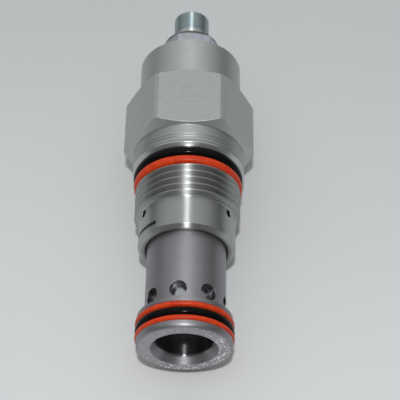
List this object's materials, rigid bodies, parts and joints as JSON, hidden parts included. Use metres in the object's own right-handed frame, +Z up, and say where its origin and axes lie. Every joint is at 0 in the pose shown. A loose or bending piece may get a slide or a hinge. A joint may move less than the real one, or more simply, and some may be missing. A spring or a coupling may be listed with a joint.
{
  "type": "screw-in cartridge valve",
  "caption": "Screw-in hydraulic relief cartridge: threaded hex body, floating ported sleeve with nose seals, balanced piston, pilot stage and a locked screw adjuster.",
  "frame": {"origin": "on the valve's axis, in the plane of the locating shoulder that stops the body in its cavity", "axes": "+Y along the axis from the nose towards the adjuster, +Z up from the hex flat the valve lies on, +X to the right seen from the nose"},
  "size_m": [0.0322, 0.0982, 0.0286],
  "materials": {
    "body_steel": "machined bright zinc-plated steel with fine turning lines",
    "sleeve_steel": "hardened and ground steel, dark with a slight purple tint",
    "piston_steel": "ground and polished steel",
    "zinc_screw": "blue-white zinc plate, glossy",
    "zinc_nut": "dull zinc plate",
    "spring_steel": "drawn spring wire",
    "screen_steel": "fine stainless screen",
    "orifice_brass": "turned brass",
    "seal_rubber": "oiled black nitrile, satin",
    "backup_plastic": "orange-red polyurethane, satin"
  },
  "bodies": {
    "valve_body": {"hex_body": "body_steel", "collar_backup_ring": "backup_plastic", "collar_o_ring": "seal_rubber", "sleeve_retaining_wire": "spring_steel", "pilot_seat": "sleeve_steel", "pilot_seat_o_ring": "seal_rubber", "pilot_screen": "screen_steel", "main_spring": "spring_steel", "pilot_spring": "spring_steel"},
    "floating_sleeve": {"sleeve": "sleeve_steel", "nose_backup_ring_front": "backup_plastic", "nose_o_ring": "seal_rubber", "nose_backup_ring_rear": "backup_plastic"},
    "piston": {"main_piston": "piston_steel", "damping_orifice": "orifice_brass", "orifice_screen": "screen_steel", "screen_clip": "spring_steel"},
    "poppet": {"pilot_poppet": "piston_steel"},
    "follower": {"spring_follower": "piston_steel", "follower_o_ring": "seal_rubber", "follower_backup_ring": "backup_plastic"},
    "screw": {"adjusting_screw": "zinc_screw"},
    "nut": {"lock_nut": "zinc_nut"}
  },
  "joints": [
    {"name": "sleeve_swivel", "type": "hinge", "parent": "valve_body", "child": "floating_sleeve", "pos_m": [0, 0, 0], "axis": [0, 1, 0], "continuous": true},
    {"name": "piston_lift", "type": "slide", "parent": "floating_sleeve", "child": "piston", "axis": [0, 1, 0], "range_m": [0, 0.0045], "deforming": ["main_spring"]},
    {"name": "poppet_lift", "type": "slide", "parent": "valve_body", "child": "poppet", "axis": [0, 1, 0], "range_m": [0, 0.0008]},
    {"name": "adjuster_travel", "type": "slide", "parent": "valve_body", "child": "follower", "axis": [0, -1, 0], "range_m": [-0.00265, 0.00265], "deforming": ["pilot_spring"]},
    {"name": "adjuster_turn", "type": "hinge", "parent": "follower", "child": "screw", "pos_m": [0, 0.0555, 0], "axis": [0, -1, 0], "range_deg": [-900, 900]},
    {"name": "lock_nut_turn", "type": "hinge", "parent": "valve_body", "child": "nut", "pos_m": [0, 0.0555, 0], "axis": [0, -1, 0], "range_deg": [-90, 0]}
  ],
  "couplings": [
    {"joint": "adjuster_travel", "follows": "adjuster_turn", "m_per_rad": 0.00016844}
  ]
}
